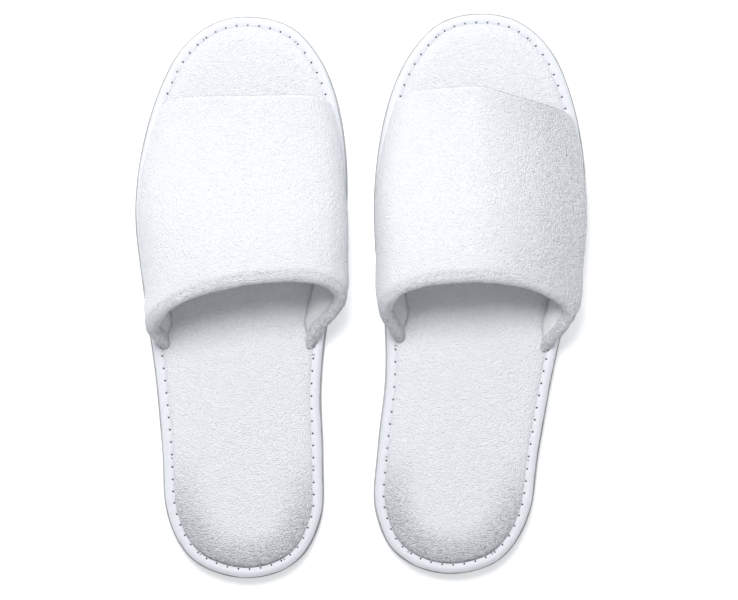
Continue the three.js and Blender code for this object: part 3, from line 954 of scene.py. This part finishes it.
class Vamp:
    """The outer surface of one vamp, from the lateral seam (across 0) to the medial seam (across 1),
    and from its rear edge (along 0) to its front edge (along 1)."""

    def __init__(self, slipper):
        shape = VAMP_SHAPES[slipper.side]
        self.slipper = slipper
        self.rear = smooth_curve(shape["rear"])
        self.front = smooth_curve(shape["front"])
        self.lateral = smooth_curve(shape["lateral"], MM)
        self.medial = smooth_curve(shape["medial"], MM)
        self.arch = shape["arch"]
        self.samples = np.linspace(0, 1, 400)
        self.arc = running_length(self.base(self.samples, np.full(400, 0.5)))
        self.width = self.arc[-1]
        self.swell = self.inflate()

    def across_at(self, metres):
        """The place across the vamp at a distance from the lateral seam, measured halfway along it."""
        return np.interp(metres, self.arc, self.samples)

    def metres_at(self, across):
        return np.interp(across, self.samples, self.arc)

    def length(self, across):
        """Distance from the rear edge to the front edge."""
        return self.front(across) - self.rear(across)

    def base(self, across, along):
        """The designed surface, before the cloth swells."""
        y = self.rear(across) * (1 - along) + self.front(across) * along
        lateral_seam = self.slipper.edge_x(-1, y) + TAPE_WIDTH
        medial_seam = self.slipper.edge_x(1, y) - TAPE_WIDTH
        lateral_side = lateral_seam - self.lateral(y)
        medial_side = medial_seam + self.medial(y)
        middle = (lateral_side + medial_side) / 2
        drop = rise(y, *VAMP_DROP)
        height = VAMP_REAR_HEIGHT * (1 - drop) + VAMP_FRONT_HEIGHT * drop
        reach = (medial_side - lateral_side) / 2
        x_parts = [lateral_seam, *(middle + reach * part for part in ARCH_X), medial_seam]
        z_parts = [height * part for part in self.arch]
        knots = np.stack([np.stack(x_parts), np.stack(z_parts)], axis=-1)
        xz = arch_point(knots, across)
        return np.column_stack([xz[:, 0], y, VAMP_SEAM_Z + xz[:, 1]])

    def point(self, across, along):
        points = self.base(across, along) + self.read_swell(across, along)
        if self.slipper.mirrored:
            points[:, 2] += front_ridge(points[:, 0], points[:, 1])
        return points

    def normal(self, across, along):
        step = 0.006
        right, left = np.minimum(across + step, 1), np.maximum(across - step, 0)
        sideways = self.point(right, along) - self.point(left, along)
        forwards = self.point(across, along + step) - self.point(across, along - step)
        facing = np.cross(sideways, forwards)
        return facing / np.linalg.norm(facing, axis=1)[:, None]

    def inflate(self):
        """How the padded band swells as cloth between its two seams and its tighter hems."""
        rows, columns = SWELL_GRID
        across = np.repeat(np.linspace(0, 1, rows), columns)
        along = np.tile(np.linspace(0, 1, columns), rows)
        across = self.across_at(across * self.width)
        points = self.base(across, along)
        first = np.arange(rows * columns).reshape(rows, columns)[:-1, :-1].ravel()
        faces = np.stack([first, first + columns, first + columns + 1, first + 1], axis=1).tolist()
        seam = np.clip(1 - self.seam_gap(across) / (4 * MM), 0, 1)
        hem = np.clip(1 - np.minimum(along, 1 - along) * 12, 0, 1) * 0.5
        moved = simulate(points, faces, np.maximum(seam, hem), pressure=0.9, cap=2.5 * MM)
        return moved.reshape(rows, columns, 3)

    def seam_gap(self, across):
        metres = self.metres_at(across)
        return np.minimum(metres, self.width - metres)

    def read_swell(self, across, along):
        rows, columns, _ = self.swell.shape
        r = np.clip(self.metres_at(across) / self.width, 0, 1) * (rows - 1)
        c = np.clip(along, 0, 1) * (columns - 1)
        i = np.clip(np.floor(r).astype(int), 0, rows - 2)
        j = np.clip(np.floor(c).astype(int), 0, columns - 2)
        s, t = smoothstep(r - i)[:, None], smoothstep(c - j)[:, None]
        return mix_corners(lambda a, b: self.swell[a, b], i, j, s, t)

    def layer(self, across, along, depth):
        """Points a depth under the outer surface, pressed thinner at the seams and lying on the insole."""
        gap = self.seam_gap(across)
        pressed = 0.8 + 0.2 * rise(gap, 0, 8 * MM)
        points = self.point(across, along) - self.normal(across, along) * (depth * pressed)[:, None]
        low = gap < 12 * MM
        inset = self.slipper.edge_distance(points[low, :2])
        floor = np.where(inset > INSOLE_RIM, side_dome(inset) + LAYER_GAP, 0)
        points[low, 2] = np.maximum(points[low, 2], floor)
        return points


def front_ridge(x, y):
    """The soft crease that runs back along the right vamp, highest at its front edge. Its lateral side
    slopes away evenly, and its medial side is rounder."""
    back = np.clip((250 * MM - y) / VAMP_LENGTH, 0, 1)
    line = 2 * MM - 7 * MM * rise(back, 0, 0.5)
    away = np.sqrt((x - line) ** 2 + ((1.5 + 5 * back) * MM) ** 2)
    reach = np.where(x < line, 26 * MM, 13 * MM)
    return 4 * MM * fall(back, 0, 1) * np.exp(-away / reach)


def arch_point(knots, across):
    """Points of centripetal Catmull-Rom curves, each through knots of its own: knots has the shape
    (knots, points, 2)."""
    count = len(knots)
    padded = np.stack([2 * knots[0] - knots[1], *knots, 2 * knots[-1] - knots[-2]])
    place = np.clip(across, 0, 1) * (count - 1)
    i = np.clip(np.floor(place).astype(int), 0, count - 2)
    t = (place - i)[:, None]
    column = np.arange(knots.shape[1])
    p0, p1, p2, p3 = (padded[i + k, column] for k in range(4))
    pairs = ((p0, p1), (p1, p2), (p2, p3))
    d0, d1, d2 = (np.sqrt(np.linalg.norm(b - a, axis=1))[:, None] for a, b in pairs)
    m1 = ((p1 - p0) / d0 - (p2 - p0) / (d0 + d1) + (p2 - p1) / d1) * d1
    m2 = ((p2 - p1) / d1 - (p3 - p1) / (d1 + d2) + (p3 - p2) / d2) * d1
    return hermite(p1, p2, m1, m2, t)


def vamp_band(vamp, section, rows):
    """A closed section of (part along, metres past it, depth) carried across the vamp."""
    section = np.array(section)
    size = len(section)
    across = np.repeat(vamp.across_at(np.linspace(0, vamp.width, rows)), size)
    part, past, depth = (np.tile(section[:, k], rows) for k in range(3))
    along = part + past / vamp.length(across)
    faces = []
    for row in range(rows - 1):
        a = row * size + np.arange(size)
        faces += np.stack([a, a + size, np.roll(a, -1) + size, np.roll(a, -1)], axis=1).tolist()
    faces.append(list(range(size)))
    faces.append(list(range((rows - 1) * size, rows * size))[::-1])
    return across, along, depth, faces


def hem_roll(end, thickness, turn_from, turn_to):
    """Section points of a rolled hem's round edge. end is 0 for the rear hem and 1 for the front one."""
    radius = thickness / 2
    inward = radius if end == 0 else -radius
    turns = np.linspace(turn_from, turn_to, 13)
    return [(end, inward * (1 - math.sin(turn)), radius * (1 - math.cos(turn))) for turn in turns]


def cover_section():
    """The terry cover: round the rear hem, over the outside, round the front hem and back inside. Also
    says how many of its points come before the inside."""
    steps = int(90 * MM / TERRY_STEP)
    rear_start = HEM_THICKNESS / 2 + 0.4 * MM
    front_end = FRONT_HEM_THICKNESS / 2 + 0.4 * MM
    section = [(0, HEM_WIDTH * part, HEM_THICKNESS) for part in reversed(HEM_STEPS)]
    section += hem_roll(0, HEM_THICKNESS, math.pi, 0)
    for t in np.arange(1, steps) / steps:
        section.append((t, rear_start * (1 - t) - front_end * t, 0.0))
    section += hem_roll(1, FRONT_HEM_THICKNESS, 0, math.pi)
    thicker = HEM_THICKNESS - FRONT_HEM_THICKNESS
    section += [(1, -HEM_WIDTH * part, FRONT_HEM_THICKNESS + thicker * part) for part in HEM_STEPS]
    shown = len(section)
    section.append((1, -HEM_WIDTH, COVER_THICKNESS))
    section += [(t, 0.0, COVER_THICKNESS) for t in (0.85, 0.7, 0.5, 0.3, 0.15)]
    section.append((0, HEM_WIDTH, COVER_THICKNESS))
    return section, shown


def build_cover(vamp, seed):
    """The vamp's terry, rolled round both edges, with looped pile and a slightly ribbed rear hem."""
    section, shown_count = cover_section()
    rows = int(vamp.width / TERRY_STEP)
    across, along, depth, faces = vamp_band(vamp, section, rows)
    points = vamp.layer(across, along, depth)
    shown = np.tile(np.arange(len(section)) < shown_count, rows)
    u = vamp.metres_at(across)
    v = along * VAMP_LENGTH + depth
    gap = vamp.seam_gap(across)
    to_edge = np.minimum(along, 1 - along) * vamp.length(across)
    rib_place = to_edge - 0.8 * depth + 0.7 * MM * noise(u, v, 7 * MM, seed)
    ribs = np.sin(2 * math.pi * rib_place / (1.5 * MM))
    rear_hem = fall(to_edge, 4 * MM, 8 * MM) * (along < 0.5)
    tail = rear_hem * fall(gap, 12 * MM, 37 * MM)
    front_lip_shade = (along > 0.9) * rise(depth, 0.1 * MM, 0.1 * MM + 0.25 * FRONT_HEM_THICKNESS)
    # Along the rear hem, more at its tails, and at the front hem's lip the pile stands taller and the painted
    # shade between its loops deepens.
    nap_and_shade = 1 + 0.6 * rear_hem + 0.5 * tail + 0.5 * front_lip_shade
    # On the right vamp the lateral half also gets taller pile and deeper painted shade between its loops,
    # which darkens that side.
    if vamp.slipper.mirrored:
        shaded_lateral_side = rise(across, 0.05, 0.15) * fall(across, 0.25, 0.55)
        nap_and_shade += 0.9 * shaded_lateral_side * (1 - rear_hem)
    pile = terry(u, v, seed)
    height = pile * nap_and_shade + 0.2 * MM * ribs * rear_hem + 0.3 * MM * noise(u, v, 22 * MM, seed + 3)
    height *= shown * rise(gap, 0, 2 * MM)
    points = points + vertex_normals(points, faces[:-2]) * height[:, None]
    piece = make_piece("terry_vamp", vamp.slipper, points, faces, TERRY)
    # At the front hem's lip every point is stored as lying between the loops, so the material paints a thin
    # line of shade along that edge.
    store_nap_and_shade(piece, np.where(shown, pile * (1 - front_lip_shade), TERRY_PILE), nap_and_shade)
    return piece


def build_vamp_layer(vamp, name, depths, start, material, step, flare=0.0):
    """A plain closed layer of the vamp between its hems, which leaves the wall by flare at its seams."""
    rows = int(vamp.width / step)
    parts = np.linspace(0, 1, int(VAMP_LENGTH / step))
    section = [(t, start * (1 - 2 * t), depths[0]) for t in parts]
    section += [(t, start * (1 - 2 * t), depths[1]) for t in reversed(parts)]
    across, along, depth, faces = vamp_band(vamp, section, rows)
    behind_hem = rise(along * vamp.length(across), HEM_WIDTH, HEM_WIDTH + 9 * MM)
    depth = depth + flare * behind_hem * fall(vamp.seam_gap(across), 0, 18 * MM)
    points = vamp.layer(across, along, depth)
    return make_piece(name, vamp.slipper, points, faces, material)


# ---- Putting a slipper together ----


def build_slipper(side, seed):
    slipper = Slipper(side)
    forefoot, heel = f"{side}_forefoot", f"{side}_heel"
    layers = {
        "outsole": build_outsole(slipper),
        "insole_pad": build_pad(slipper),
        "insole_cover": build_insole(slipper, seed),
        "edge_binding": build_tape(slipper, seed + 10),
        "edge_stitching": build_thread(slipper),
    }
    for node, piece in layers.items():
        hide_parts(f"{side}_{node}_forefoot", f"{side}_{node}_heel")
        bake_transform(piece)

    vamp = Vamp(slipper)
    cover = build_cover(vamp, seed + 20)
    padding = build_vamp_layer(vamp, "vamp_foam", FOAM_DEPTHS, HEM_WIDTH + 0.4 * MM, FOAM, 3 * MM)
    lining = build_vamp_layer(
        vamp, "lining_cloth", LINING_DEPTHS, HEM_WIDTH - 0.6 * MM, LINING, 1.5 * MM, LINING_FLARE
    )
    for piece, node in ((cover, "vamp_cover"), (padding, "vamp_padding"), (lining, "vamp_lining")):
        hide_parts(f"{side}_{node}")
        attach(piece, forefoot)


# ---- Floor, light and camera ----


def add_floor():
    """A wide flat floor, which turns up far away all round into a plain backdrop."""
    count, flat, turn = 96, 4.0, 1.0
    angles = np.linspace(0, 2 * math.pi, count, endpoint=False)
    circle = np.column_stack([np.cos(angles), np.sin(angles)])
    rings = []
    for angle in np.linspace(0, math.pi / 2, 10):
        height = turn * (1 - math.cos(angle)) - 0.02 * MM
        rings.append(extend(circle * (flat + turn * math.sin(angle)), height))
    faces = [list(range(count))] + turned_over(bridge_stack(len(rings), count))
    mesh = smooth_mesh("studio_floor", np.vstack(rings), faces, floor_finish())
    add_object("studio_floor", mesh)


def add_light():
    """One large soft lamp above and beyond the toes, and a pale sky."""
    data = bpy.data.lights.new("key", "AREA")
    data.shape = "DISK"
    data.size = 0.55
    data.energy = 12.8
    key = add_object("key", data)
    key.location = (-0.13, 0.53, 1.15)
    aim = Vector((0, 0, 0.02)) - key.location
    key.rotation_euler = aim.to_track_quat("-Z", "Y").to_euler()
    world = bpy.data.worlds.new("studio")
    world.use_nodes = True
    background = world.node_tree.nodes["Background"]
    background.inputs["Color"].default_value = (0.93, 0.965, 1.0, 1)
    background.inputs["Strength"].default_value = 0.42
    bpy.context.scene.world = world


def add_camera():
    """Straight above the pair and far away, framed as a product picture."""
    distance = 2.2
    view_width = 381.5 * MM
    data = bpy.data.cameras.new("camera")
    data.sensor_width = 36
    data.lens = data.sensor_width * distance / view_width
    data.clip_end = 50
    camera = add_object("camera", data)
    camera.location = (4.4 * MM, -2.3 * MM, distance + 15 * MM)
    bpy.context.scene.camera = camera


add_camera()
add_floor()
add_light()
build_slipper("left", 3)
build_slipper("right", 57)
bpy.context.scene.view_settings.view_transform = "Standard"
